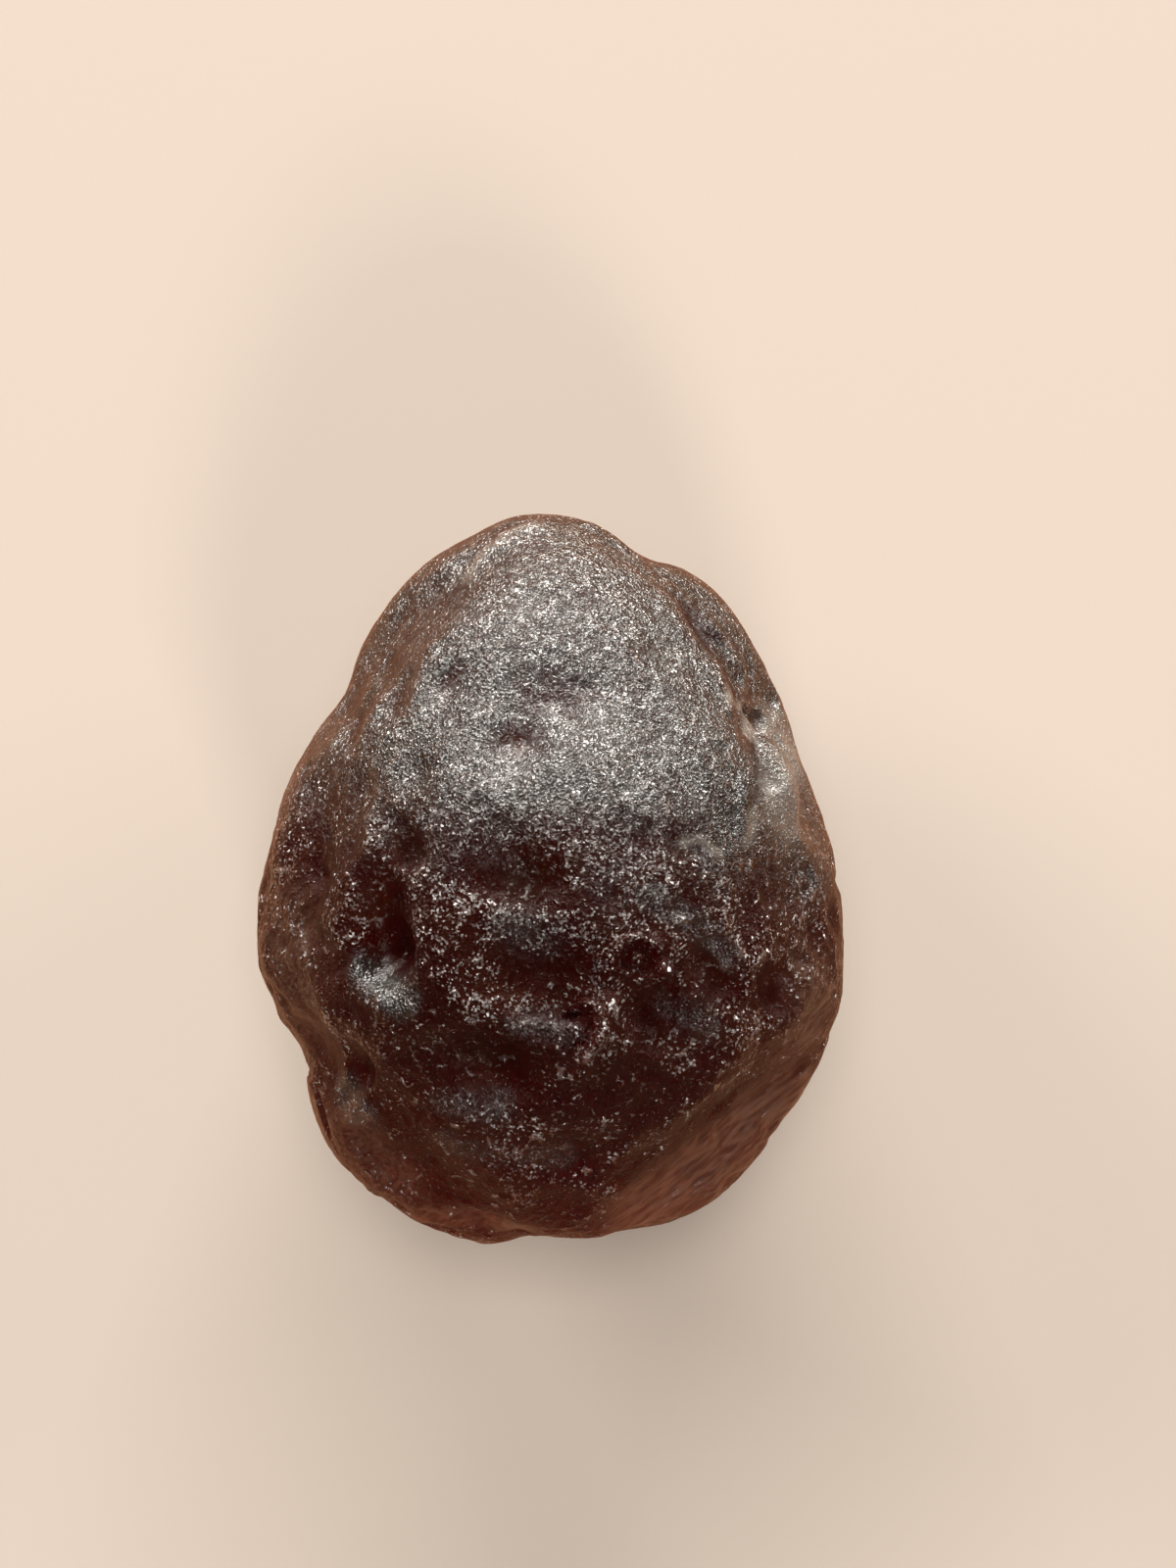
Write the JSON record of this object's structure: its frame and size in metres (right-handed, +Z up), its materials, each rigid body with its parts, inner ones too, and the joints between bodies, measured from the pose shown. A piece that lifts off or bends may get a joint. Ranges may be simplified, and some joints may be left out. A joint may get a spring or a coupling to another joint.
{
  "type": "tektite",
  "caption": "Egg-shaped piece of dark brown natural glass with a frosted, pitted skin of etched bowls, ridges and a long scooped facet, lying on a small flat spot.",
  "frame": {"origin": "on the surface that the stone lies on, under the middle of its bounding box", "axes": "+Y from the broad end to the narrow end, +X across it, +Z up out of the upper side"},
  "size_m": [0.0216, 0.027, 0.0184],
  "materials": {
    "natural_glass": "frosted skin with fine glitter, dark wine brown inside, translucent at thin edges"
  },
  "bodies": {
    "root": {"tektite": "natural_glass"}
  },
  "joints": []
}
